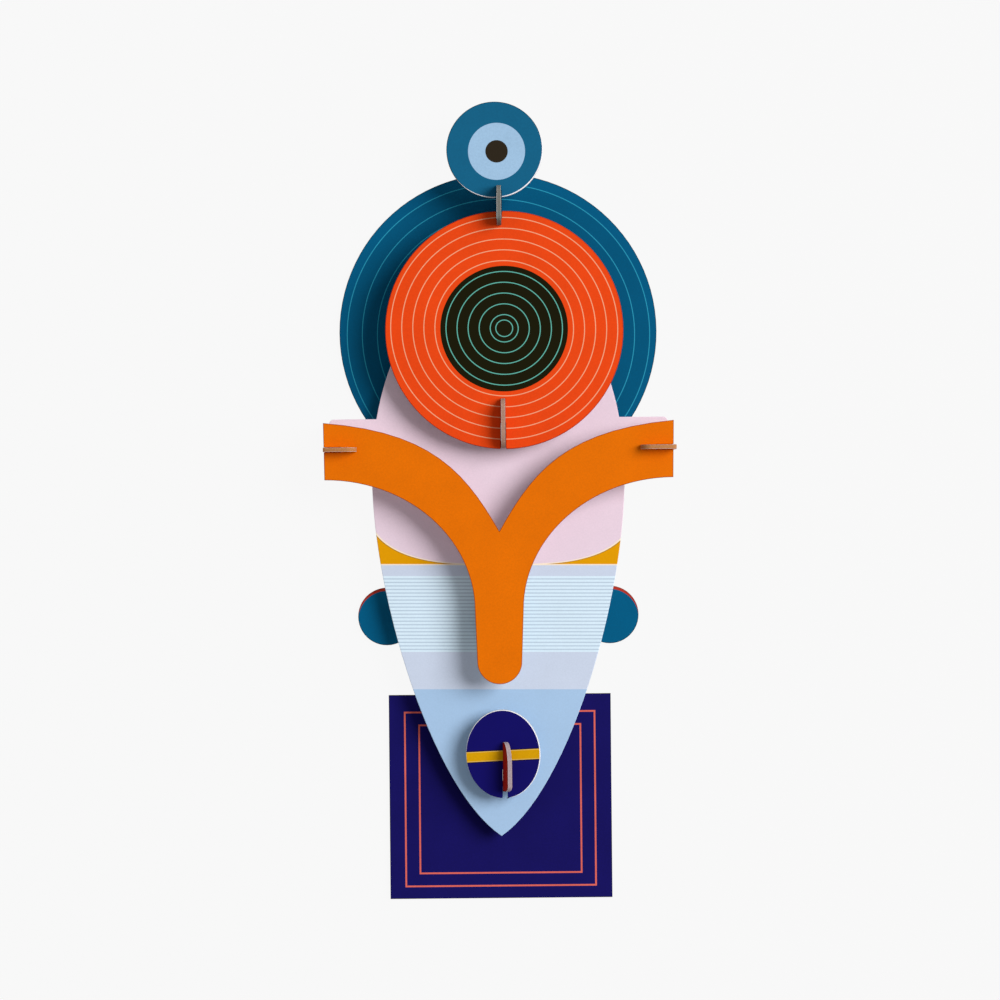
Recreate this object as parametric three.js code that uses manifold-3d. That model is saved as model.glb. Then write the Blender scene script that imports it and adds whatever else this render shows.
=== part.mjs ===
// A slotted cardboard wall mask: printed boards in layers, held apart by small slotted connectors.
// Millimetres. X to the right, Y up the mask, Z out from the wall. The rear boards lie on Z = 0.
// The origin is in the middle of the mask's outline, on the wall side.
// Heights are measured up from the bottom edge of the neck plate.

import * as THREE from 'three';
import { mergeVertices } from 'three/addons/utils/BufferGeometryUtils.js';
import Module from 'manifold-3d';

const wasm = await Module();
wasm.setup();

// The board and its fits
const board = 2;            // thickness of every board
const sideGap = 0.3;        // between a connector and each side or end of its slit
const seatGap = 0.3;        // between a connector's shoulder and the face of a board
const wallGap = 0.5;        // from the wall to the rear end of a connector
const shoulder = 1.8;       // step at each end of a connector where it passes a board
const leadIn = 0.9;         // chamfer on each side of an open slit's mouth

// Free space between the layers
const faceGap = 6;          // rear boards to face plate
const mouthGap = 6;         // face plate to mouth disc
const discGap = 8;          // face plate to forehead and crown discs
const browGap = 10.6;       // face plate to brow and nose

// Fins: how far each connector stands out in front of its board
const foreheadFin = 7.3;
const crownFin = 9.5;
const mouthFin = 7.5;
const tabFin = 6;
const finLand = 0.9;        // upright part of a fin's end, before its rounding

// Neck plate
const neckWidth = 98;
const neckHeight = 90;
const neckShift = -0.55;    // sideways, as this mask was put together

// Face plate: a pointed oval with a bar across it for the brow
const faceOverNeck = 61.8;  // how far its tip hangs down over the neck plate
const faceShift = -0.25;
const faceHalfWidth = 55.5;
const faceLower = 158.6;    // tip to widest point
const faceUpper = 90;       // widest point to the hidden top
const faceSideHandle = 54;  // how long the side stays near upright below the widest point
const faceTipHandle = 36;   // how long the edge stays near straight above the tip
const faceTipAngle = 56;    // degrees between the tip's edge and the mask's axis
const barInset = 2.1;       // how far the bar's ends stay behind the brow's
const barHeight = 25;
const barCorner = 2;

// Brow and nose: two arms that sweep down into the nose
const browDrop = 1.8;       // below the bar's top edge
const browHalfWidth = 76.4;
const browEndHeight = 24.9;
const browEndLean = 0.4;    // the bottom of each end stands this much nearer the axis
const browDip = 47.8;       // brow's top edge down to the bottom of the V
const browVeeAngle = 29.5;  // degrees between the V's edge and the mask's axis
const browVeeHandle = 29.4; // how long the top edge stays near straight above the V
const browTopHandle = 47.8; // how long it stays near straight inwards from the arm's end
const browTopAngle = 4.9;   // degrees that it falls there
const browFlare = 57.3;     // height of the curve that turns an arm into the nose
const noseShift = -0.35;
const noseRootHalf = 10.6;
const noseTipRadius = 9.75;
const noseReach = 104.7;    // brow's top edge down to the centre of the nose's round end

// Tabs that carry the brow's ends
const tabDrop = 13.5;       // bar's top edge down to a tab's middle
const tabLength = 15.2;
const tabProudLeft = 0.1;   // past the brow's end
const tabProudRight = 1.1;
const tabRear = 4;          // behind the face plate
const tabRound = 4.5;       // length of the rounding at a fin's inner end

// Forehead disc and its lower connector
const foreheadRadius = 52;
const foreheadAboveBar = 38.2;   // bar's top edge up to the disc's centre
const foreheadShift = 2.95;
const foreheadConnectorX = 2.1;
const foreheadConnectorLength = 21.5;
const foreheadConnectorRise = 0.6;   // above the disc's bottom edge
const foreheadRound = 6;

// Halo disc
const haloBorder = 18;      // ring that shows round the forehead disc
const haloShift = 0.2;
const hangHoleRadius = 3.75;
const hangHoleRise = 36;    // above the halo's centre

// Crown disc and the connector between it and the forehead disc
const crownRadius = 21;
const crownGapToForehead = 5.65;
const crownShift = -0.6;
const crownConnectorX = 1.1;
const crownOverlap = 5.3;       // connector's reach over the crown disc
const crownForeheadOverlap = 6.3;   // and over the forehead disc
const crownRound = 3.5;

// Ears, cut from one bar that runs hidden behind the face
const earRadius = 12.7;
const earHalfSpan = 49.2;
const earDrop = 62;         // face's widest point down to the ears' centres
const earShift = -0.8;
const earBarHeight = 15;
const earConnectorLength = 20;
const earTenonLength = 9;

// Mouth disc and its connector
const mouthHalfWidth = 16.25;
const mouthHalfHeight = 19.35;
const mouthAboveTip = 36.6;
const mouthShift = 0.8;
const mouthTilt = 2.4;      // degrees, anticlockwise seen from the front
const mouthConnectorX = 1.5;
const mouthConnectorRise = 3;   // above the disc's bottom edge
const mouthConnectorLength = 21.6;
const mouthTopRound = 10;
const mouthBottomRound = 2.5;

// Fineness of the curves: points along a Bezier curve, and half the points along an arc
const discSteps = 48;       // whole disc
const sweepSteps = 14;      // long sweep of a board's edge
const cornerSteps = 4;      // rounded corner or small hole
const cutterOverrun = 4;    // how far a cutter stands out past what it cuts

// Finishes: printed paper on the faces, bare board on the connectors
const finishes = {
  teal: { color: '#0e688f', roughness: 0.55 },
  orangeRed: { color: '#ea4812', roughness: 0.55 },
  pink: { color: '#edd3e2', roughness: 0.55 },
  orange: { color: '#e66f03', roughness: 0.55 },
  navy: { color: '#161359', roughness: 0.55 },
  darkNavy: { color: '#110d5c', roughness: 0.55 },
  bareBoard: { color: '#a58d78', roughness: 0.85 },
};

// Layers: height of each board's rear face above the wall
const rearZ = 0;
const faceZ = rearZ + board + faceGap;
const mouthZ = faceZ + board + mouthGap;
const discZ = faceZ + board + discGap;
const browZ = faceZ + board + browGap;

// Places worked out from the sizes above
const tipY = neckHeight - faceOverNeck;
const widestY = tipY + faceLower;
const barTopY = widestY + barHeight;
const browTopY = barTopY - browDrop;
const tabY = barTopY - tabDrop;
const earY = widestY - earDrop;
const barHalfWidth = browHalfWidth - barInset;

const forehead = { x: foreheadShift, y: barTopY + foreheadAboveBar, radius: foreheadRadius };
const halo = { x: haloShift, y: forehead.y, radius: foreheadRadius + haloBorder };
const crown = {
  x: crownShift,
  y: forehead.y + foreheadRadius + crownGapToForehead + crownRadius,
  radius: crownRadius,
};
const mouth = { x: mouthShift, y: tipY + mouthAboveTip };
const maskHeight = crown.y + crownRadius;

// Height of a disc's edge at a given x, above (side 1) or below (side -1) its centre
function discEdge(disc, x, side) {
  return disc.y + side * Math.sqrt(disc.radius ** 2 - (x - disc.x) ** 2);
}

// Height of the tilted mouth disc's bottom edge at a given x
function mouthBottomEdge(x) {
  const turn = THREE.MathUtils.degToRad(mouthTilt);
  const [c, s] = [Math.cos(turn), Math.sin(turn)];
  const [w, h] = [mouthHalfWidth ** 2, mouthHalfHeight ** 2];
  const dx = x - mouth.x;
  const a = s * s / w + c * c / h;
  const b = 2 * dx * c * s * (1 / w - 1 / h);
  const k = dx * dx * (c * c / w + s * s / h) - 1;
  return mouth.y - (b + Math.sqrt(b * b - 4 * a * k)) / (2 * a);
}

// Solid and mesh helpers

function toSolid(geometry) {
  const bare = geometry.clone();
  bare.deleteAttribute('normal');
  bare.deleteAttribute('uv');
  const merged = mergeVertices(bare);
  return new wasm.Manifold(new wasm.Mesh({
    numProp: 3,
    vertProperties: new Float32Array(merged.attributes.position.array),
    triVerts: new Uint32Array(merged.index.array),
  }));
}

function toGeometry(solid) {
  const mesh = solid.getMesh();
  const geometry = new THREE.BufferGeometry();
  geometry.setAttribute('position', new THREE.BufferAttribute(mesh.vertProperties, 3));
  geometry.setIndex(new THREE.BufferAttribute(mesh.triVerts, 1));
  geometry.computeVertexNormals();
  return geometry;
}

function extrude(shape, depth, steps) {
  return new THREE.ExtrudeGeometry(shape, { depth, bevelEnabled: false, curveSegments: steps });
}

// A flat board of the given outlines, joined, with its slits and holes cut right through
function cutBoard(outlines, cuts) {
  const blanks = outlines.map(({ shape, steps }) => toSolid(extrude(shape, board, steps)));
  let solid = blanks.reduce((whole, next) => whole.add(next));
  for (const { shape, steps } of cuts) {
    const cutter = extrude(shape, board + 2 * cutterOverrun, steps).translate(0, 0, -cutterOverrun);
    solid = solid.subtract(toSolid(cutter));
  }
  return toGeometry(solid);
}

const quarter = Math.PI / 2;

// How a board drawn flat is placed: lying at a height above the wall, standing out from the wall
// with its length up the mask, or standing out from it with its length across the mask
const lying = (z) => ({ position: [0, 0, z], rotation: [0, 0, 0] });
const upright = (x) => ({ position: [x - board / 2, 0, 0], rotation: [quarter, quarter, 0] });
const level = (y) => ({ position: [0, y + board / 2, 0], rotation: [quarter, 0, 0] });

const group = new THREE.Group();

function addPiece(name, finish, geometry, { position, rotation }) {
  const mesh = new THREE.Mesh(geometry, new THREE.MeshStandardMaterial({ ...finish, metalness: 0 }));
  mesh.name = name;
  mesh.position.set(...position);
  mesh.rotation.set(...rotation);
  group.add(mesh);
}

// Outlines, each with the fineness of its curves

function polygon(corners) {
  return new THREE.Shape(corners.map(([x, y]) => new THREE.Vector2(x, y)));
}

function circleOutline({ x, y, radius }, steps) {
  return { shape: new THREE.Shape().absarc(x, y, radius, 0, 4 * quarter), steps };
}

// A rectangle with its two top corners rounded
function barOutline(left, bottom, right, top, corner) {
  const shape = new THREE.Shape()
    .moveTo(left, bottom)
    .lineTo(right, bottom)
    .absarc(right - corner, top - corner, corner, 0, quarter)
    .absarc(left + corner, top - corner, corner, quarter, 2 * quarter);
  return { shape, steps: cornerSteps };
}

function rectangleOutline(left, bottom, right, top) {
  const corners = [[left, bottom], [right, bottom], [right, top], [left, top]];
  return { shape: polygon(corners), steps: 1 };
}

const slitHalfWidth = board / 2 + sideGap;

// A closed slit for the part of an upright connector between two heights
function closedSlit(x, { low, high }) {
  return rectangleOutline(x - slitHalfWidth, low - sideGap, x + slitHalfWidth, high + sideGap);
}

const [RIGHT, UP, LEFT, DOWN] = [0, quarter, 2 * quarter, 3 * quarter];

// A slit that is open at a board's edge. It runs from its blind end towards its mouth, in the
// direction given, and widens at the mouth by the lead-in.
function openSlit(x, y, length, direction) {
  const wide = slitHalfWidth + leadIn;
  const past = wide + cutterOverrun;
  const profile = [
    [0, -slitHalfWidth], [length - leadIn, -slitHalfWidth], [length, -wide],
    [length + cutterOverrun, -past], [length + cutterOverrun, past],
    [length, wide], [length - leadIn, slitHalfWidth], [0, slitHalfWidth],
  ];
  const [c, s] = [Math.cos(direction), Math.sin(direction)];
  const corners = profile.map(([along, across]) => [
    x + along * c - across * s,
    y + along * s + across * c,
  ]);
  return { shape: polygon(corners), steps: 1 };
}

// Connectors

// The two sides of a connector, drawn with its length to the right and its distance from the wall
// upwards. Each step says how far out it reaches and where it starts and ends along the connector.
function connectorSides(rear, steps) {
  const floors = [rear, ...steps.map((step) => step.to)];
  const side = (end) => steps.flatMap((step, i) => [
    [step[end], floors[i]],
    [step[end], floors[i + 1]],
  ]);
  return { low: side('low'), high: side('high') };
}

// A connector whose last step is a fin, with its two front corners rounded by quarter ellipses
function finnedConnector(rear, steps, finHeight, [lowRound, highRound]) {
  const { low, high } = connectorSides(rear, steps);
  const fin = steps[steps.length - 1];
  const finRise = finHeight - finLand;
  const roundY = fin.to - finRise;
  const shape = polygon(high.slice(0, -1))
    .absellipse(fin.high - highRound, roundY, highRound, finRise, 0, quarter)
    .absellipse(fin.low + lowRound, roundY, lowRound, finRise, quarter, 2 * quarter);
  low.slice(0, -1).reverse().forEach(([along, out]) => shape.lineTo(along, out));
  return extrude(shape, board, cornerSteps);
}

// Ends of a connector where it passes through boards that stop its shoulders
function inset(low, high, count) {
  return { low: low + count * shoulder, high: high - count * shoulder };
}

const frontOf = (z) => z + board + seatGap;
const behind = (z) => z - seatGap;

// Where each upright connector starts and ends, and where its half-lap meets its disc

const foreheadBottom = discEdge(forehead, foreheadConnectorX, -1);
const foreheadLow = foreheadBottom + foreheadConnectorRise;
const foreheadHigh = foreheadLow + foreheadConnectorLength;
const foreheadLap = (foreheadBottom + foreheadHigh) / 2;

const foreheadTop = discEdge(forehead, crownConnectorX, 1);
const crownBottom = discEdge(crown, crownConnectorX, -1);
const crownLow = foreheadTop - crownForeheadOverlap;
const crownHigh = crownBottom + crownOverlap;
const crownLowLap = foreheadTop - crownForeheadOverlap / 2;
const crownHighLap = crownBottom + crownOverlap / 2;

const mouthBottom = mouthBottomEdge(mouthConnectorX);
const mouthLow = mouthBottom + mouthConnectorRise;
const mouthHigh = mouthLow + mouthConnectorLength;
const mouthLap = (mouthBottom + mouthHigh) / 2;

const earLow = earY - earConnectorLength / 2;
const earHigh = earY + earConnectorLength / 2;
const earTenon = { low: earY - earTenonLength / 2, high: earY + earTenonLength / 2 };

// Where the tabs start and end along X, both as on the right-hand side
const tabInner = browHalfWidth + (tabProudLeft + tabProudRight) / 2 - tabLength;
const tabBarLap = (tabInner + barHalfWidth) / 2;
const tabBrowLap = (tabInner + browHalfWidth) / 2;

// Slits that a connector needs in the boards behind the one that it carries
const foreheadFaceSlit = inset(foreheadLow, foreheadHigh, 1);
const foreheadHaloSlit = inset(foreheadLow, foreheadHigh, 2);
const crownHaloSlit = inset(crownLow, crownHigh, 1);
const earFaceSlit = inset(earLow, earHigh, 1);
const mouthFaceSlit = inset(mouthLow, mouthHigh, 1);
const mouthNeckSlit = inset(mouthLow, mouthHigh, 2);

// Boards

function haloDisc() {
  const hangHole = { x: halo.x, y: halo.y + hangHoleRise, radius: hangHoleRadius };
  return cutBoard([circleOutline(halo, discSteps)], [
    closedSlit(foreheadConnectorX, foreheadHaloSlit),
    closedSlit(crownConnectorX, crownHaloSlit),
    circleOutline(hangHole, 2 * cornerSteps),
  ]);
}

function neckPlate() {
  const [left, right] = [neckShift - neckWidth / 2, neckShift + neckWidth / 2];
  const outline = rectangleOutline(left, 0, right, neckHeight);
  return cutBoard([outline], [closedSlit(mouthConnectorX, mouthNeckSlit)]);
}

function earBar() {
  const [left, right] = [earShift - earHalfSpan, earShift + earHalfSpan];
  const ears = [left, right].map((x) => circleOutline({ x, y: earY, radius: earRadius }, discSteps / 2));
  const strip = rectangleOutline(left, earY - earBarHeight / 2, right, earY + earBarHeight / 2);
  return cutBoard([...ears, strip], [closedSlit(0, earTenon)]);
}

function facePlate() {
  const tipTurn = THREE.MathUtils.degToRad(faceTipAngle);
  const handleX = faceTipHandle * Math.sin(tipTurn);
  const handleY = tipY + faceTipHandle * Math.cos(tipTurn);
  const sideY = widestY - faceSideHandle;
  const [left, right] = [faceShift - faceHalfWidth, faceShift + faceHalfWidth];
  const oval = new THREE.Shape()
    .moveTo(faceShift, tipY)
    .bezierCurveTo(faceShift + handleX, handleY, right, sideY, right, widestY)
    .absellipse(faceShift, widestY, faceHalfWidth, faceUpper, 0, 2 * quarter)
    .bezierCurveTo(left, sideY, faceShift - handleX, handleY, faceShift, tipY);
  const bar = barOutline(-barHalfWidth, widestY, barHalfWidth, barTopY, barCorner);
  const reach = barHalfWidth - tabBarLap + sideGap;
  return cutBoard([{ shape: oval, steps: 2 * sweepSteps }, bar], [
    closedSlit(foreheadConnectorX, foreheadFaceSlit),
    closedSlit(0, earFaceSlit),
    closedSlit(mouthConnectorX, mouthFaceSlit),
    openSlit(barHalfWidth - reach, tabY, reach, RIGHT),
    openSlit(reach - barHalfWidth, tabY, reach, LEFT),
  ]);
}

function foreheadDisc() {
  const [lowerEnd, upperEnd] = [foreheadLap + sideGap, crownLowLap - sideGap];
  return cutBoard([circleOutline(forehead, discSteps)], [
    openSlit(foreheadConnectorX, lowerEnd, lowerEnd - foreheadBottom, DOWN),
    openSlit(crownConnectorX, upperEnd, foreheadTop - upperEnd, UP),
  ]);
}

function crownDisc() {
  const end = crownHighLap + sideGap;
  return cutBoard([circleOutline(crown, discSteps)], [
    openSlit(crownConnectorX, end, end - crownBottom, DOWN),
  ]);
}

function mouthDisc() {
  const tilt = THREE.MathUtils.degToRad(mouthTilt);
  const oval = new THREE.Shape().absellipse(
    mouth.x, mouth.y, mouthHalfWidth, mouthHalfHeight, 0, 4 * quarter, false, tilt);
  const end = mouthLap + sideGap;
  return cutBoard([{ shape: oval, steps: discSteps }], [
    openSlit(mouthConnectorX, end, end - mouthBottom, DOWN),
  ]);
}

// The top edge of each arm sweeps down from the arm's end and meets its twin in the V. Its bottom
// edge is a quarter ellipse that turns into the side of the nose.
function browNose() {
  const [veeTurn, topTurn] = [browVeeAngle, browTopAngle].map(THREE.MathUtils.degToRad);
  const veeY = browTopY - browDip;
  const veeHandle = [browVeeHandle * Math.sin(veeTurn), veeY + browVeeHandle * Math.cos(veeTurn)];
  const topHandle = [
    browHalfWidth - browTopHandle * Math.cos(topTurn),
    browTopY - browTopHandle * Math.sin(topTurn),
  ];
  const endX = browHalfWidth - browEndLean;
  const flareX = endX - noseRootHalf;
  const flareY = browTopY - browEndHeight - browFlare;
  const noseTipY = browTopY - noseReach;
  const shape = new THREE.Shape()
    .moveTo(0, veeY)
    .bezierCurveTo(...veeHandle, ...topHandle, browHalfWidth, browTopY)
    .absellipse(endX, flareY, flareX - noseShift, browFlare, quarter, 2 * quarter)
    .absarc(noseShift, noseTipY, noseTipRadius, 0, -2 * quarter, true)
    .absellipse(-endX, flareY, flareX + noseShift, browFlare, 0, quarter)
    .lineTo(-browHalfWidth, browTopY)
    .bezierCurveTo(-topHandle[0], topHandle[1], -veeHandle[0], veeHandle[1], 0, veeY);
  const reach = browHalfWidth - tabBrowLap + sideGap;
  return cutBoard([{ shape, steps: sweepSteps }], [
    openSlit(browHalfWidth - reach, tabY, reach, RIGHT),
    openSlit(reach - browHalfWidth, tabY, reach, LEFT),
  ]);
}

// Connectors

function foreheadConnector() {
  const full = { low: foreheadLow, high: foreheadHigh };
  return finnedConnector(wallGap, [
    { ...foreheadHaloSlit, to: frontOf(rearZ) },
    { ...foreheadFaceSlit, to: frontOf(faceZ) },
    { ...full, to: behind(discZ) },
    { low: foreheadLow, high: foreheadLap, to: frontOf(discZ) },
    { ...full, to: discZ + board + foreheadFin },
  ], foreheadFin, [foreheadRound, foreheadRound]);
}

function crownConnector() {
  const full = { low: crownLow, high: crownHigh };
  return finnedConnector(wallGap, [
    { ...crownHaloSlit, to: frontOf(rearZ) },
    { ...full, to: behind(discZ) },
    { low: crownLowLap, high: crownHighLap, to: frontOf(discZ) },
    { ...full, to: discZ + board + crownFin },
  ], crownFin, [crownRound, crownRound]);
}

function mouthConnector() {
  const full = { low: mouthLow, high: mouthHigh };
  return finnedConnector(wallGap, [
    { ...mouthNeckSlit, to: frontOf(rearZ) },
    { ...mouthFaceSlit, to: frontOf(faceZ) },
    { ...full, to: behind(mouthZ) },
    { low: mouthLow, high: mouthLap, to: frontOf(mouthZ) },
    { ...full, to: mouthZ + board + mouthFin },
  ], mouthFin, [mouthBottomRound, mouthTopRound]);
}

// Holds the ear bar to the face and backs up the nose
function earConnector() {
  const { low, high } = connectorSides(wallGap, [
    { ...earTenon, to: frontOf(rearZ) },
    { ...earFaceSlit, to: frontOf(faceZ) },
    { low: earLow, high: earHigh, to: behind(browZ) },
  ]);
  return extrude(polygon([...high, ...low.reverse()]), board, 1);
}

// A level board whose two notches, open towards the middle of the mask, grip the bar and the brow
function browTab(side) {
  const outer = browHalfWidth + (side > 0 ? tabProudRight : tabProudLeft);
  const span = (inner) => (side > 0 ? { low: inner, high: outer } : { low: -outer, high: -inner });
  const rounds = side > 0 ? [tabRound, finLand] : [finLand, tabRound];
  return finnedConnector(faceZ - tabRear, [
    { ...span(tabInner), to: behind(faceZ) },
    { ...span(tabBarLap), to: frontOf(faceZ) },
    { ...span(tabInner), to: behind(browZ) },
    { ...span(tabBrowLap), to: frontOf(browZ) },
    { ...span(tabInner), to: browZ + board + tabFin },
  ], tabFin, rounds);
}

const { teal, orangeRed, pink, orange, navy, darkNavy, bareBoard } = finishes;

addPiece('halo_disc', teal, haloDisc(), lying(rearZ));
addPiece('neck_plate', navy, neckPlate(), lying(rearZ));
addPiece('ear_bar', teal, earBar(), lying(rearZ));
addPiece('face_plate', pink, facePlate(), lying(faceZ));
addPiece('forehead_disc', orangeRed, foreheadDisc(), lying(discZ));
addPiece('crown_disc', teal, crownDisc(), lying(discZ));
addPiece('mouth_disc', darkNavy, mouthDisc(), lying(mouthZ));
addPiece('brow_nose', orange, browNose(), lying(browZ));
addPiece('forehead_connector', bareBoard, foreheadConnector(), upright(foreheadConnectorX));
addPiece('crown_connector', bareBoard, crownConnector(), upright(crownConnectorX));
addPiece('mouth_connector', orangeRed, mouthConnector(), upright(mouthConnectorX));
addPiece('ear_connector', bareBoard, earConnector(), upright(0));
addPiece('brow_tab_left', bareBoard, browTab(-1), level(tabY));
addPiece('brow_tab_right', bareBoard, browTab(1), level(tabY));

// The origin is half-way up the mask
group.position.y = -maskHeight / 2;

export default group;
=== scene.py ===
# %% [markdown]
# The paper mask
#
# This wall mask is put together from flat cardboard boards. Each board is greyboard with printed
# paper glued on it, cut out by a steel die, and small upright boards slot the layers together.
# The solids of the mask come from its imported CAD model, the frame. Everything here stands in the
# same frame, so a board that is dressed for the render is already in its place.

# %% Load the frame
import math
import bmesh
import bpy
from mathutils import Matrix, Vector


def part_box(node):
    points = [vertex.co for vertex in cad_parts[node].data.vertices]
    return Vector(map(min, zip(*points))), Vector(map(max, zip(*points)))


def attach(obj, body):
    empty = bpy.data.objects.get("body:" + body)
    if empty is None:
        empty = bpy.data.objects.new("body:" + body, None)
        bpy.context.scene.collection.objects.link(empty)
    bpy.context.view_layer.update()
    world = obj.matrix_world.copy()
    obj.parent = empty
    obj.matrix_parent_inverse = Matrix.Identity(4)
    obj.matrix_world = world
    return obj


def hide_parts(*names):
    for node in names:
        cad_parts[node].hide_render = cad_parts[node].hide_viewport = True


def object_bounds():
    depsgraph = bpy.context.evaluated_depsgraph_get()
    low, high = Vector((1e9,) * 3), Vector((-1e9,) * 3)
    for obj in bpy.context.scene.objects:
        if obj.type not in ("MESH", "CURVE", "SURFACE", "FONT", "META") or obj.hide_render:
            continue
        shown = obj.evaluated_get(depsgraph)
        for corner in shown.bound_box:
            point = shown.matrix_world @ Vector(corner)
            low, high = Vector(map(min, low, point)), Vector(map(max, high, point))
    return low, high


MM = 0.001
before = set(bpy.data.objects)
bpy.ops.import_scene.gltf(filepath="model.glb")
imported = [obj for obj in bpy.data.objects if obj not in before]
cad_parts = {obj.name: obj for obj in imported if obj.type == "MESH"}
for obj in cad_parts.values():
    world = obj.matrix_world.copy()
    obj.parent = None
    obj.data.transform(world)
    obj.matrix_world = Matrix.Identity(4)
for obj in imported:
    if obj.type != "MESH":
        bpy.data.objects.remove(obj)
cad_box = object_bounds()
print("boards in the frame:", len(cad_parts))
print("box in mm:", [round(side / MM, 1) for side in cad_box[1] - cad_box[0]])

# %% [markdown]
# Colours
#
# Printing inks are easiest to name by their sRGB hex values, as a paint chart does. Blender works
# with light, so it wants linear values. One function turns the first into the second.


# %% Ink colours
def linear(ink):
    """The linear colour, with alpha, of an sRGB hex value such as #ff8800."""
    channels = [int(ink[start:start + 2], 16) / 255 for start in (1, 3, 5)]
    light = [c / 12.92 if c <= 0.04045 else ((c + 0.055) / 1.055) ** 2.4 for c in channels]
    return (*light, 1.0)


TEAL = linear("#00557a")
TEAL_BLUE = linear("#005981")
TEAL_LINE = linear("#2a98b6")
CROWN_TEAL = linear("#146185")
SKY = linear("#a0c2e0")
ALMOST_BLACK = linear("#191704")
UMBER = linear("#2d251a")
ORANGE_RED = linear("#ea4711")
SALMON = linear("#f2a680")
SEA_GREEN = linear("#62b4a4")
ORANGE = linear("#e67000")
PINK = linear("#ead3e1")
YELLOW = linear("#e39c00")
CREAM = linear("#fbe9d2")
YELLOW_EDGE = linear("#b98420")
LAVENDER = linear("#ccd6e9")
ICE = linear("#dceffc")
ICE_LINE = linear("#bccfe0")
CHIN_BLUE = linear("#a8c6e6")
NAVY = linear("#15105c")
MOUTH_NAVY = linear("#110c62")
BAND_YELLOW = linear("#d69e03")
BAND_PALE = linear("#e2b95e")
BAND_DARK = linear("#1a0a20")
FRAME_RED = linear("#dc6658")
EAR_TEAL = linear("#005a82")
EAR_RED = linear("#b23626")
BLANK_PAPER = linear("#f5f2f6")
CONNECTOR_RED = linear("#a81e12")
print("orange ink in linear light:", [round(c, 3) for c in ORANGE])

# %% [markdown]
# A helper for shader nodes
#
# A material is a small drawing made of nodes. Every pattern on this mask is printed, so it is worked
# out from the place of a point on the board, in millimetres. The helper below adds one node, sets
# it up and joins it to the nodes before it. Everything else is said in terms of it.


# %% Add one node
def add(tree, kind, inputs=None, output=0, **settings):
    """Adds a node. An input is a plain value, or another node's output, which is then linked to it."""
    node = tree.nodes.new("ShaderNode" + kind)
    for name, value in settings.items():
        setattr(node, name, value)
    for key, value in (inputs or {}).items():
        if isinstance(value, bpy.types.NodeSocket):
            tree.links.new(value, node.inputs[key])
        else:
            node.inputs[key].default_value = value
    return node.outputs[output]


def print_place(tree, centre=(0, 0), turn=0):
    """Where a point lies on a print, in mm from its centre and along its own directions."""
    spot = add(tree, "TexCoord", output="Object")
    return add(tree, "Mapping", {
        "Vector": spot,
        "Location": (centre[0] * MM, centre[1] * MM, 0),
        "Rotation": (0, 0, math.radians(turn)),
        "Scale": (MM, MM, MM),
    }, vector_type="TEXTURE")


def sideways_and_up(tree, place):
    """The place's two numbers: to the right and up."""
    right = add(tree, "SeparateXYZ", {0: place}, "X")
    up = add(tree, "SeparateXYZ", {0: place}, "Y")
    return right, up


def flattened(tree, place, half_width, half_height):
    """The place with both directions divided by those half sizes, and nothing along Z."""
    scale = (1 / half_width, 1 / half_height, 0)
    return add(tree, "VectorMath", {0: place, 1: scale}, operation="MULTIPLY")


def from_centre(tree, place, half_width=1.0, half_height=1.0):
    """Distance from the print's centre. With half sizes it is 1 on that ellipse."""
    flat = flattened(tree, place, half_width, half_height)
    return add(tree, "VectorMath", {0: flat}, "Value", operation="LENGTH")


def between(tree, value, low, high):
    """1 where the value lies between low and high, and 0 elsewhere."""
    middle, half = (low + high) / 2, (high - low) / 2
    return add(tree, "Math", {0: value, 1: middle, 2: half}, operation="COMPARE")


def both(tree, first, second):
    """1 where both masks are 1."""
    return add(tree, "Math", {0: first, 1: second}, operation="MULTIPLY")


def ink_over(tree, below, ink, where):
    """Prints an ink over what lies below, where the mask is 1."""
    return add(tree, "Mix", {0: where, 6: below, 7: ink}, 2, data_type="RGBA")


def board_middle(node, aside=(0, 0)):
    """Middle of a board in mm. A print lies aside from it by those mm."""
    low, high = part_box(node)
    middle = (low + high) / 2 / MM
    return (middle.x + aside[0], middle.y + aside[1])


FAR = 1000.0  # mm, further than any edge of the mask
print("halo's middle in mm:", [round(c, 2) for c in board_middle("halo_disc")])

# %% [markdown]
# Printed paper
#
# The faces of the boards are offset-printed paper, uncoated, so they look matt and even. Close up,
# the ink lies a little thinner in some places than in others, and paper fibres make a fine grain.
# The steel die presses the paper down along each cut, and the rounded cut edge lies in shade,
# so the ink is drawn darker in a narrow rim: partly pressed paper, partly painted shade.
# Fibres are some 0.03 mm wide, which no render of a whole mask can show, so the grain is drawn
# at 0.7 mm. One function makes this paper, and each board gives it its own print.

# %% Printed paper
GRAIN = 0.7        # mm, drawn coarser than real fibres so that it shows
CLOUD = 16.0       # mm, size of the patches where the ink lies thinner
GRAIN_DEPTH = 0.02  # mm
PAPER_SPECULAR = 0.05  # uncoated paper has next to no gloss
# the rim's colour: darker pressed paper, with painted shade of the rounded cut edge
RIM_SHADE = linear("#b09c88")


def paper_grain(tree, size, detail=3.0):
    """Soft random values from 0 to 1 in patches of that size in mm."""
    place = print_place(tree)
    return add(tree, "TexNoise", {"Vector": place, "Scale": 1 / size, "Detail": detail}, "Fac")


def pressed_and_shaded_rim(tree, ink):
    """Darkens the ink in the narrow rim that the die pressed down, with painted shade of the rounded
    cut edge.
    """
    rim = add(tree, "Attribute", output="Fac", attribute_name="rim")
    line = add(tree, "MapRange", {"Value": rim, 1: 0.35, 2: 0.55})
    mixed = {0: line, 6: ink, 7: RIM_SHADE}
    return add(tree, "Mix", mixed, 2, data_type="RGBA", blend_type="MULTIPLY")


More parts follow.
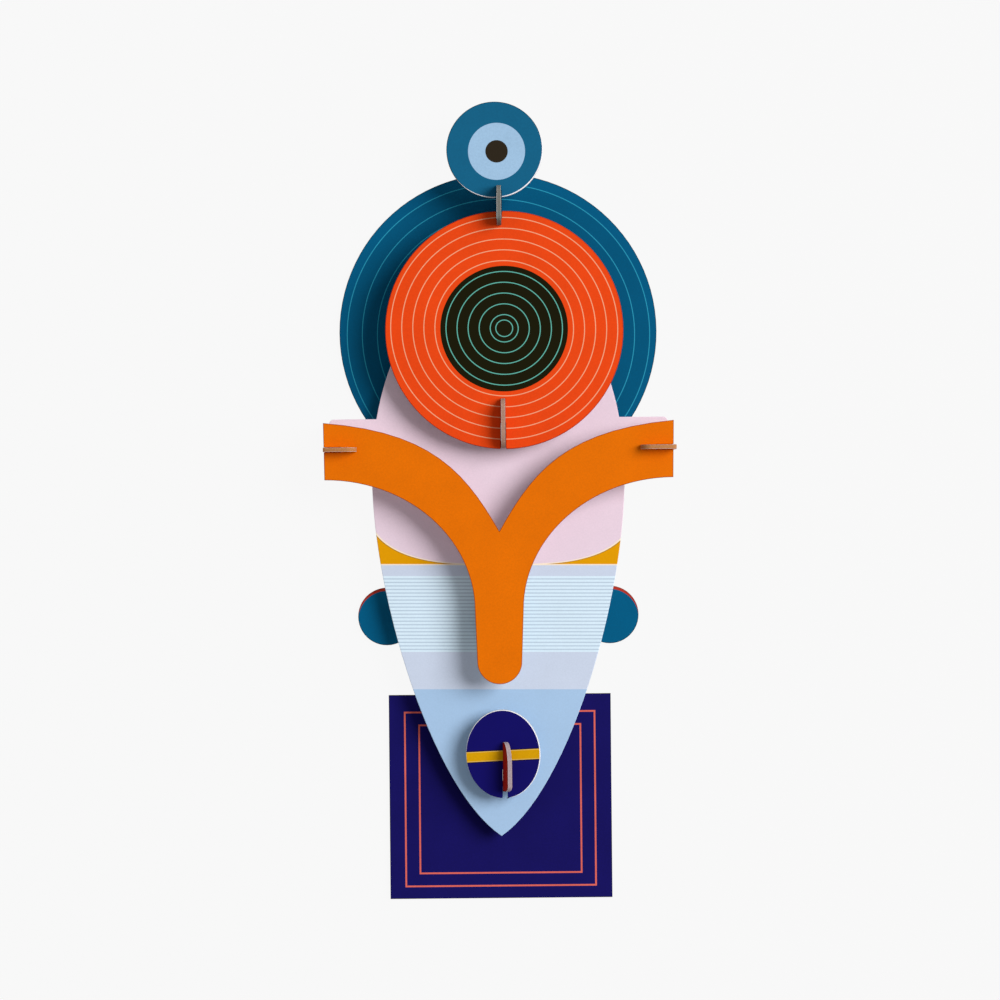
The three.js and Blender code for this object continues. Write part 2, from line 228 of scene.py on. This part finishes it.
def printed_paper(name, draw_print, unevenness=0.05):
    """Matt printed paper. draw_print(tree) gives the print's colour at each point."""
    material = bpy.data.materials.new(name)
    material.use_nodes = True
    tree = material.node_tree
    shader = tree.nodes["Principled BSDF"]
    ink = draw_print(tree)

    # thinner and thicker ink, in fine grain and in wide clouds
    fine = paper_grain(tree, GRAIN)
    wide = paper_grain(tree, CLOUD)
    low, high = 1 - unevenness, 1 + unevenness
    fine_value = add(tree, "MapRange", {"Value": fine, 1: 0.3, 2: 0.7, 3: low, 4: high})
    wide_value = add(tree, "MapRange", {"Value": wide, 1: 0.2, 2: 0.8, 3: low, 4: high})
    value = add(tree, "Math", {0: fine_value, 1: wide_value}, operation="MULTIPLY")
    ink = add(tree, "HueSaturation", {"Color": ink, "Value": value})

    tree.links.new(ink, shader.inputs["Base Color"])
    rough = add(tree, "MapRange", {"Value": fine, 1: 0.3, 2: 0.7, 3: 0.62, 4: 0.74})
    tree.links.new(rough, shader.inputs["Roughness"])
    bump = add(tree, "Bump", {"Height": fine, "Distance": GRAIN_DEPTH * MM, "Strength": 0.5})
    tree.links.new(bump, shader.inputs["Normal"])
    shader.inputs["Specular IOR Level"].default_value = PAPER_SPECULAR
    print("paper:", name, "with", len(tree.nodes), "nodes")
    return material


# %% [markdown]
# The halo's print
#
# The big rear disc is teal with thin rings at even distances, and a slightly bluer outer band.
# Even rings need no list: the distance from the centre is wrapped at the ring's spacing, and a
# narrow stretch of what comes out is the line.

# %% Even rings, and the halo
HALO_PRINT = board_middle("halo_disc", (0.2, -1.1))
HALO_SQUASH = 0.993   # this print came out that much lower than wide
HALO_RING_STEP = 6.66
HALO_RING_FIRST = 6.84
HALO_LINE = 0.38
HALO_BAND = 66.8


def even_rings(tree, radius, first, step, line):
    """A mask of thin rings: the first one at radius first, then one at every step."""
    start = first - step / 2
    phase = add(tree, "Math", {0: radius, 1: first + step / 2, 2: start}, operation="WRAP")
    on_line = between(tree, phase, first - line / 2, first + line / 2)
    outside = add(tree, "Math", {0: radius, 1: start}, operation="GREATER_THAN")
    return both(tree, on_line, outside)


def halo_print(tree):
    radius = from_centre(tree, print_place(tree, HALO_PRINT), 1, HALO_SQUASH)
    ink = ink_over(tree, TEAL, TEAL_BLUE, between(tree, radius, HALO_BAND, FAR))
    rings = even_rings(tree, radius, HALO_RING_FIRST, HALO_RING_STEP, HALO_LINE)
    return pressed_and_shaded_rim(tree, ink_over(tree, ink, TEAL_LINE, rings))


halo_paper = printed_paper("printed paper teal rings", halo_print)

# %% [markdown]
# The forehead's print
#
# The forehead disc is orange-red with a black middle. The same even rings run over both parts, but
# they are sea green on the black and salmon on the red. One more ring fills the centre. Rings and
# black middle sit a little off the die-cut disc, and are a touch wider than high: the two inks
# were printed one after the other on paper that had stretched.

# %% Forehead print
FOREHEAD_RINGS = board_middle("forehead_disc", (-0.01, 0.7))
FOREHEAD_TURN = -10
FOREHEAD_SQUASH = 0.975
FOREHEAD_RING_FIRST = 6.11
FOREHEAD_RING_STEP = 4.83
FOREHEAD_RING_EXTRA = 3.69
FOREHEAD_LINE = 0.42
FOREHEAD_MIDDLE = board_middle("forehead_disc", (-0.05, 0.55))
FOREHEAD_BLACK = 27.85
FOREHEAD_BLACK_SQUASH = 0.985


def forehead_print(tree):
    middle = from_centre(tree, print_place(tree, FOREHEAD_MIDDLE), 1, FOREHEAD_BLACK_SQUASH)
    black = between(tree, middle, -1, FOREHEAD_BLACK)
    radius = from_centre(tree, print_place(tree, FOREHEAD_RINGS, FOREHEAD_TURN), 1, FOREHEAD_SQUASH)
    rings = even_rings(tree, radius, FOREHEAD_RING_FIRST, FOREHEAD_RING_STEP, FOREHEAD_LINE)
    half = FOREHEAD_LINE / 2
    centre_ring = between(tree, radius, FOREHEAD_RING_EXTRA - half, FOREHEAD_RING_EXTRA + half)
    rings = add(tree, "Math", {0: rings, 1: centre_ring}, operation="MAXIMUM")
    ground = ink_over(tree, ORANGE_RED, ALMOST_BLACK, black)
    line = ink_over(tree, SALMON, SEA_GREEN, black)
    return pressed_and_shaded_rim(tree, ink_over(tree, ground, line, rings))


forehead_paper = printed_paper("printed paper red and black rings", forehead_print)

# %% [markdown]
# The crown's and the ears' prints
#
# The crown disc has a pale blue ring round a dark middle. Its teal print is drawn half a millimetre
# off the cut, so a thin crescent of bare paper shows at the lower right: a painted highlight for
# the white cut edge where the light falls on it. The ears are teal discs printed a little low on
# red paper, so a thin red crescent is left along the top.

# %% Crown and ear prints
CROWN_PRINT = board_middle("crown_disc", (0.9, -0.7))
CROWN_PALE = 12.45
CROWN_DARK = 4.9
CROWN_TEAL_OFF_FOR_LIT_EDGE = board_middle("crown_disc", (-0.25, 0.45))
EAR_PRINT = board_middle("ear_bar", (0, -1.4))


def half_size(node):
    """Half a board's width and height in mm."""
    low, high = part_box(node)
    return (high.x - low.x) / 2 / MM, (high.y - low.y) / 2 / MM


def crown_print(tree):
    # the bare paper left beside the shifted teal is a painted highlight of the lit cut edge
    rim = from_centre(tree, print_place(tree, CROWN_TEAL_OFF_FOR_LIT_EDGE))
    radius = from_centre(tree, print_place(tree, CROWN_PRINT))
    teal = pressed_and_shaded_rim(tree, CROWN_TEAL)
    ink = ink_over(tree, BLANK_PAPER, teal, between(tree, rim, -1, half_size("crown_disc")[0]))
    ink = ink_over(tree, ink, SKY, between(tree, radius, -1, CROWN_PALE))
    return ink_over(tree, ink, UMBER, between(tree, radius, -1, CROWN_DARK))


def ear_print(tree):
    half_width, ear_radius = half_size("ear_bar")
    place = print_place(tree, EAR_PRINT)
    folded = add(tree, "VectorMath", {0: place}, operation="ABSOLUTE")
    ear = (half_width - ear_radius, 0, 0)
    from_ear = add(tree, "VectorMath", {0: folded, 1: ear}, operation="SUBTRACT")
    radius = from_centre(tree, from_ear)
    return pressed_and_shaded_rim(tree, ink_over(tree, EAR_RED, EAR_TEAL, between(tree, radius, -1, ear_radius)))


crown_paper = printed_paper("printed paper blue and teal discs", crown_print)
ear_paper = printed_paper("printed paper teal on red", ear_print)

# %% [markdown]
# The face's print
#
# The face is printed in bands. From the top down they are pink with a rounded lower edge, yellow
# wedges beside it, a thin cream line, lavender, fine stripes, lavender again and the blue chin.
# Each band is printed over the one above it, so only its upper edge is needed. Heights are counted
# up from the tip of the chin. The pink's lower edge is flatter than an ellipse, so its formula
# has the power 3 where an ellipse has 2. The sheet was cut half a degree askew.

# %% Face print
FACE_TIP = (0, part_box("face_plate")[0].y / MM)
FACE_TURN = -0.53
CHEEK_MIDDLE = (-0.6, 156.06)
CHEEK_HALF_WIDTH = 60.0
CHEEK_HALF_HEIGHT = 36.6
CHEEK_POWER = 3
CHEEK_LINE = 0.035   # its cream line and the yellow's edge, as shares of the form's size
CHEEK_EDGE = 0.025
WEDGE_END = 119.2
CREAM_LINE = 0.5
STRIPES_TOP = 114.2
STRIPES_END = 80.85
STRIPE_STEP = 1.548
STRIPE_DARK = 0.55
CHIN_TOP = 64.45


def cheek_distance(tree, place):
    """1 on the pink's lower edge, less above it and more below it."""
    centred = add(tree, "VectorMath", {0: place, 1: (*CHEEK_MIDDLE, 0)}, operation="SUBTRACT")
    flat = flattened(tree, centred, CHEEK_HALF_WIDTH, CHEEK_HALF_HEIGHT)
    right, up = sideways_and_up(tree, add(tree, "VectorMath", {0: flat}, operation="ABSOLUTE"))
    powers = [add(tree, "Math", {0: part, 1: CHEEK_POWER}, operation="POWER") for part in (right, up)]
    return add(tree, "Math", {0: powers[0], 1: powers[1]}, operation="ADD")


def face_print(tree):
    place = print_place(tree, FACE_TIP, FACE_TURN)
    up = sideways_and_up(tree, place)[1]
    cheek = cheek_distance(tree, place)
    lower_half = between(tree, up, 0, CHEEK_MIDDLE[1])
    ink = ink_over(tree, PINK, CREAM, both(tree, between(tree, cheek, 1, FAR), lower_half))
    for thickness, yellow in ((CHEEK_LINE, YELLOW_EDGE), (CHEEK_LINE + CHEEK_EDGE, YELLOW)):
        wedge = both(tree, between(tree, cheek, 1 + thickness, FAR), lower_half)
        ink = ink_over(tree, ink, yellow, wedge)
    ink = ink_over(tree, ink, LAVENDER, between(tree, up, -FAR, WEDGE_END))
    half = CREAM_LINE / 2
    ink = ink_over(tree, ink, CREAM, between(tree, up, WEDGE_END - half, WEDGE_END + half))
    striped = between(tree, up, STRIPES_END, STRIPES_TOP)
    ink = ink_over(tree, ink, ICE, striped)
    phase = add(tree, "Math", {0: up, 1: STRIPES_TOP, 2: STRIPES_TOP - STRIPE_STEP}, operation="WRAP")
    low = STRIPES_TOP - STRIPE_STEP
    dark = between(tree, phase, low, low + STRIPE_DARK)
    ink = ink_over(tree, ink, ICE_LINE, both(tree, striped, dark))
    return ink_over(tree, ink, CHIN_BLUE, between(tree, up, -FAR, CHIN_TOP))


face_paper = printed_paper("printed paper pink and blue bands", face_print, unevenness=0.025)

# %% [markdown]
# The brow's, mouth's and neck's prints
#
# The brow is plain orange. The mouth is navy with a yellow band, printed on a board that was
# slotted in a little askew. The neck has two frame lines: a point lies on a frame's line when
# the larger of its two distances from the frame's sides is next to nothing.

# %% Brow, mouth and neck prints
MOUTH_PRINT = board_middle("mouth_disc", (-0.15, -0.2))
MOUTH_TURN = 2.4
MOUTH_HALF_WIDTH = 16.0
MOUTH_HALF_HEIGHT = 19.1
MOUTH_BAND = (-2.75, 1.7)
MOUTH_BAND_LINE = 0.35
NECK_LINE = 0.74
NECK_FRAMES = [
    {"centre": board_middle("neck_plate", (-0.1, -1.1)), "half_width": 41.9, "half_height": 38.4},
    {"centre": board_middle("neck_plate", (-0.1, -1.1)), "half_width": 35.6, "half_height": 32.7},
]


def plain_print(colour):
    """A print in one ink, all over."""
    return lambda tree: pressed_and_shaded_rim(tree, colour)


def mouth_print(tree):
    place = print_place(tree, MOUTH_PRINT, MOUTH_TURN)
    up = sideways_and_up(tree, place)[1]
    low, high = MOUTH_BAND
    line = MOUTH_BAND_LINE
    ink = ink_over(tree, MOUTH_NAVY, BAND_DARK, between(tree, up, low - line, high + line))
    ink = ink_over(tree, ink, BAND_PALE, between(tree, up, low, high))
    ink = ink_over(tree, ink, BAND_YELLOW, between(tree, up, low + line, high - line))
    # The bare paper rim round the navy stands for the white cut edge. The navy sits low and left, so
    # the rim is wider at the top and right: a painted highlight where the light falls.
    navy_inside_lit_rim = from_centre(tree, place, MOUTH_HALF_WIDTH, MOUTH_HALF_HEIGHT)
    return ink_over(tree, BLANK_PAPER, ink, between(tree, navy_inside_lit_rim, -1, 1))


def neck_print(tree):
    ink = NAVY
    for line in NECK_FRAMES:
        place = print_place(tree, line["centre"])
        away = add(tree, "VectorMath", {0: place}, operation="ABSOLUTE")
        right, up = sideways_and_up(tree, away)
        beyond_side = add(tree, "Math", {0: right, 1: line["half_width"]}, operation="SUBTRACT")
        beyond_top = add(tree, "Math", {0: up, 1: line["half_height"]}, operation="SUBTRACT")
        beyond = add(tree, "Math", {0: beyond_side, 1: beyond_top}, operation="MAXIMUM")
        ink = ink_over(tree, ink, FRAME_RED, between(tree, beyond, -NECK_LINE / 2, NECK_LINE / 2))
    return pressed_and_shaded_rim(tree, ink)


brow_paper = printed_paper("printed paper orange", plain_print(ORANGE))
mouth_paper = printed_paper("printed paper navy and yellow", mouth_print)
neck_paper = printed_paper("printed paper navy frames", neck_print, unevenness=0.09)

# %% [markdown]
# Cut edges, connectors and rear faces
#
# Where the die has cut the board, its core shows: greyboard, pressed from waste paper in thin
# layers, grey-brown with darker and paler fibres that run along the sheet. Between core and print
# lies the white of the paper itself. The rear faces are covered with plain white paper.

# %% Greyboard
FIBRE = 0.5  # mm


def greyboard(name, colour, stretch=(1, 1, 1)):
    """Bare greyboard. stretch makes the fibre pattern shorter in a direction."""
    material = bpy.data.materials.new(name)
    material.use_nodes = True
    tree = material.node_tree
    shader = tree.nodes["Principled BSDF"]
    place = add(tree, "VectorMath", {0: print_place(tree), 1: stretch}, operation="MULTIPLY")
    fibres = add(tree, "TexNoise", {"Vector": place, "Scale": 1 / FIBRE, "Detail": 4.0}, "Fac")
    value = add(tree, "MapRange", {"Value": fibres, 1: 0.3, 2: 0.7, 3: 0.8, 4: 1.2})
    shade = add(tree, "HueSaturation", {"Color": colour, "Value": value})
    tree.links.new(shade, shader.inputs["Base Color"])
    bump = add(tree, "Bump", {"Height": fibres, "Distance": 0.05 * MM, "Strength": 0.6})
    tree.links.new(bump, shader.inputs["Normal"])
    shader.inputs["Roughness"].default_value = 0.85
    shader.inputs["Specular IOR Level"].default_value = PAPER_SPECULAR
    return material


core_grey = greyboard("greyboard cut edge", linear("#8c8378"))
core_tan = greyboard("greyboard cut edge tan", linear("#b67d4f"))
core_rose = greyboard("greyboard cut edge rosy", linear("#ab8472"))
core_mauve = greyboard("greyboard cut edge mauve", linear("#ac9a9f"))
# a darker copy of the greyboard for the crown connector's edge, which lies in shade: painted shade
core_in_painted_shade = greyboard("greyboard cut edge in painted shade", linear("#73726c"))
rear_face = greyboard("white paper rear face", linear("#e9e4db"))
liner = greyboard("white paper cut edge", linear("#e9e6e6"))
print("board materials ready")

# %% [markdown]
# Snug slits
#
# The CAD boards have slits a little wider than the connectors, so that the solids never touch. Real
# slits are as wide as the board is thick and grip it, with a small chamfer where they begin. So the
# slit's walls are moved in before a board is dressed. The board is also cut along the slit's middle
# line. A flat face that runs all round a slit would be filled straight across it.

# %% Close the slits
ACROSS_X = (0, 1)  # an upright connector is thin along X and long along Y
ACROSS_Y = (1, 0)
SLITS = {
    "forehead_connector": ACROSS_X,
    "crown_connector": ACROSS_X,
    "mouth_connector": ACROSS_X,
    "ear_connector": ACROSS_X,
    "brow_tab_left": ACROSS_Y,
    "brow_tab_right": ACROSS_Y,
}
SLIT_REACH = 4.0   # mm, how far a slit goes on past its connector
# mm from the connector's middle in the CAD, and here: wall, chamfer's end, what is left alone
SLIT_PLACES = [(1.3, 1.05), (2.2, 1.35), (3.0, 3.0)]


def moved_in(aside):
    """Where a point at that distance from the connector's middle goes, in mm."""
    for (near, near_goes), (far, far_goes) in zip(SLIT_PLACES, SLIT_PLACES[1:]):
        if near - 0.02 < aside < far:
            share = (aside - near) / (far - near)
            return near_goes + share * (far_goes - near_goes)
    return aside


def snug_slits(bm):
    """Moves the walls of a board's slits close to the connectors, and cuts the board there."""
    for connector, (across, along) in SLITS.items():
        low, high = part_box(connector)
        middle = (low[across] + high[across]) / 2
        begin, end = low[along] - SLIT_REACH * MM, high[along] + SLIT_REACH * MM
        has_slit = False
        for v in bm.verts:
            aside = v.co[across] - middle
            goes = moved_in(abs(aside) / MM) * MM
            if begin < v.co[along] < end and goes != abs(aside):
                has_slit = has_slit or abs(goes - SLIT_PLACES[0][1] * MM) < 0.01 * MM
                v.co[across] = middle + math.copysign(goes, aside)
        if has_slit:
            line = Vector((0, 0, 0))
            line[across] = middle
            normal = Vector((0, 0, 0))
            normal[across] = 1
            everything = bm.verts[:] + bm.edges[:] + bm.faces[:]
            bmesh.ops.bisect_plane(bm, geom=everything, plane_co=line, plane_no=normal, dist=1e-7)


print("connectors that sit in slits:", len(SLITS))

# %% [markdown]
# Dressing a board
#
# A copy of each CAD board is taken and its loose triangles merged. The walls are cut into three
# bands for paper, core and paper. The faces are inset by the width of the pressed rim, and the rim's
# edge is bevelled, because a die rounds the paper over a little. All of this could be modelled by
# hand for each board, but the boards are alike, so one function does it for all.

# %% Dress one board
LINER = 0.2       # mm, thickness of the printed paper with its glue
RIM = 0.35        # mm, width of the pressed rim
ROUNDING = 0.14   # mm, how far the die rounds the paper over


def lean_above(bm, height, shift):
    """Pushes what stands above that height sideways, more the higher it stands."""
    everything = bm.verts[:] + bm.edges[:] + bm.faces[:]
    bmesh.ops.bisect_plane(bm, geom=everything, plane_co=(0, 0, height), plane_no=(0, 0, 1), dist=1e-7)
    top = max(v.co.z for v in bm.verts)
    for v in bm.verts:
        share = (v.co.z - height) / (top - height)
        if share > 0:
            v.co.x += shift * share


def dress_board(node, facing, front, edge, rear, lean=None):
    """Makes the render's board from a CAD board. facing is the direction of its printed face."""
    way = Vector(facing)
    bm = bmesh.new()
    bm.from_mesh(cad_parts[node].data)
    bmesh.ops.remove_doubles(bm, verts=bm.verts, dist=0.001 * MM)
    bmesh.ops.dissolve_limit(bm, angle_limit=math.radians(0.05), verts=bm.verts, edges=bm.edges)
    if node not in SLITS:
        snug_slits(bm)
    depths = [v.co.dot(way) for v in bm.verts]
    middle = (min(depths) + max(depths)) / 2
    half = (max(depths) - min(depths)) / 2

    for side in (-1, 1):
        everything = bm.verts[:] + bm.edges[:] + bm.faces[:]
        cut = way * (middle + side * (half - LINER * MM))
        bmesh.ops.bisect_plane(bm, geom=everything, plane_co=cut, plane_no=way, dist=1e-7)
    inner = set()
    for side in (-1, 1):
        faces = [f for f in bm.faces if f.normal.dot(way) * side > 0.99]
        bmesh.ops.inset_region(bm, faces=faces, thickness=RIM * MM, use_boundary=True,
                               use_even_offset=True)
        inner.update(faces)
    rims = [e for e in bm.edges if e.is_manifold and 0.9 < e.calc_face_angle() < 2.2
            and any(abs(f.normal.dot(way)) > 0.99 for f in e.link_faces)]
    bmesh.ops.bevel(bm, geom=rims, offset=ROUNDING * MM, offset_type="OFFSET", segments=2,
                    profile=0.5, affect="EDGES", material=-1)

    for f in bm.faces:
        f.smooth = True
        level = f.calc_center_median().dot(way) - middle
        if abs(f.normal.dot(way)) > 0.3:
            f.material_index = 0 if f.normal.dot(way) > 0 else 3
        else:
            f.material_index = 1 if abs(level) < half - LINER * MM else 2
    if lean:
        lean_above(bm, *lean)
    inner_verts = {v for f in inner if f.is_valid for v in f.verts}
    rim_values = [0.0 if v in inner_verts else 1.0 for v in bm.verts]
    mesh = bpy.data.meshes.new(node + "_board")
    bm.to_mesh(mesh)
    bm.free()
    mesh.set_sharp_from_angle(angle=math.radians(50))
    for material in (front, edge, liner, rear):
        mesh.materials.append(material)
    pressed = mesh.attributes.new("rim", "FLOAT", "POINT")
    pressed.data.foreach_set("value", rim_values)
    board = bpy.data.objects.new(node + "_board", mesh)
    bpy.context.collection.objects.link(board)
    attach(board, "root")
    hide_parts(node)
    print(board.name, "has", len(mesh.polygons), "faces")
    return board


# %% [markdown]
# The boards
#
# The large boards lie flat and face the room, along Z.

# %% Large boards
TOWARDS_ROOM = (0, 0, 1)
LARGE_BOARDS = [
    {"node": "halo_disc", "front": halo_paper, "slot": "teal_print"},
    {"node": "neck_plate", "front": neck_paper, "slot": "navy_print"},
    {"node": "ear_bar", "front": ear_paper, "slot": "ear_print"},
    {"node": "face_plate", "front": face_paper, "slot": "face_print"},
    {"node": "forehead_disc", "front": forehead_paper, "slot": "forehead_print"},
    {"node": "crown_disc", "front": crown_paper, "slot": "crown_print"},
    {"node": "mouth_disc", "front": mouth_paper, "slot": "mouth_print"},
    {"node": "brow_nose", "front": brow_paper, "slot": "brow_print"},
]
for row in LARGE_BOARDS:
    dress_board(row["node"], TOWARDS_ROOM, row["front"], core_grey, rear_face)

# %% [markdown]
# The connectors
#
# Four connectors stand upright, so their printed sides face left and right. The two tabs at the
# brow's ends lie level, so their sides face up and down.

# %% Connectors
red_paper = printed_paper("printed paper red", plain_print(CONNECTOR_RED))
orange_paper = printed_paper("printed paper orange tab", plain_print(ORANGE))
teal_paper = printed_paper("printed paper teal", plain_print(TEAL))
TO_THE_RIGHT = (1, 0, 0)
UPWARDS = (0, 1, 0)
MOUTH_LEAN = (18 * MM, 2.1 * MM)  # where it starts to lean, and how far its top is pushed
dress_board("forehead_connector", TO_THE_RIGHT, red_paper, core_rose, red_paper)
# its cut edge takes the darker greyboard, which is painted shade
dress_board("crown_connector", TO_THE_RIGHT, teal_paper, core_in_painted_shade, teal_paper)
dress_board("ear_connector", TO_THE_RIGHT, teal_paper, core_grey, teal_paper)
dress_board("mouth_connector", TO_THE_RIGHT, red_paper, core_mauve, red_paper, MOUTH_LEAN)
dress_board("brow_tab_left", UPWARDS, orange_paper, core_tan, orange_paper)
dress_board("brow_tab_right", UPWARDS, orange_paper, core_tan, orange_paper)

# %% [markdown]
# Floor
#
# The mask lies on its back on a pale sheet, lit from within like a light table, so that its own
# shadows are soft and the outline stands clear.

# %% Pale floor
FLOOR_SIZE = 6.0
bm = bmesh.new()
bmesh.ops.create_grid(bm, x_segments=1, y_segments=1, size=FLOOR_SIZE / 2)
bmesh.ops.translate(bm, vec=(0, 0, cad_box[0].z - 0.1 * MM), verts=bm.verts)
floor_mesh = bpy.data.meshes.new("floor")
bm.to_mesh(floor_mesh)
bm.free()
floor = bpy.data.objects.new("floor", floor_mesh)
bpy.context.collection.objects.link(floor)
floor_material = bpy.data.materials.new("light table acrylic")
floor_material.use_nodes = True
floor_shader = floor_material.node_tree.nodes["Principled BSDF"]
floor_shader.inputs["Base Color"].default_value = (0.02, 0.02, 0.02, 1)
floor_shader.inputs["Roughness"].default_value = 0.9
floor_shader.inputs["Specular IOR Level"].default_value = 0.0
floor_shader.inputs["Emission Color"].default_value = (1, 1, 1, 1)
floor_shader.inputs["Emission Strength"].default_value = 0.92
floor_mesh.materials.append(floor_material)

# %% [markdown]
# Light
#
# One large soft light hangs to the right and a little towards the top of the mask, so that each
# layer throws a soft shadow to the lower left. A weak even light from all round keeps the shadows open.

# %% Soft light
KEY_DISTANCE = 5.0
KEY_SIZE = 3.3
KEY_POWER = 255
KEY_WAY = Vector((0.95, 0.36, 1.0)).normalized()
MASK_MIDDLE = Vector((0, 0, 0.02))
key = bpy.data.lights.new("softbox", "AREA")
key.shape = "DISK"
key.size = KEY_SIZE
key.energy = KEY_POWER
softbox = bpy.data.objects.new("softbox", key)
softbox.location = MASK_MIDDLE + KEY_WAY * KEY_DISTANCE
softbox.rotation_euler = KEY_WAY.to_track_quat("Z", "Y").to_euler()
bpy.context.collection.objects.link(softbox)

world = bpy.data.worlds.new("studio")
bpy.context.scene.world = world
world.use_nodes = True
world.node_tree.nodes["Background"].inputs["Color"].default_value = (1, 1, 1, 1)
world.node_tree.nodes["Background"].inputs["Strength"].default_value = 0.33
bpy.context.scene.view_settings.view_transform = "Standard"

# %% [markdown]
# Camera
#
# The camera hangs straight above the mask, one and a half metres up. The mask lies half a degree
# askew in the picture, so the camera is rolled by as much.

# %% Camera straight above
CAMERA_HEIGHT = 1.5
CAMERA_MIDDLE = (0.4 * MM, 0.975 * MM)
CAMERA_ROLL = -0.0093
camera_data = bpy.data.cameras.new("camera")
camera_data.sensor_width = 36
camera_data.lens = 122.1
camera = bpy.data.objects.new("camera", camera_data)
camera.location = (*CAMERA_MIDDLE, CAMERA_HEIGHT)
camera.rotation_euler = (0, 0, CAMERA_ROLL)
bpy.context.collection.objects.link(camera)
bpy.context.scene.camera = camera
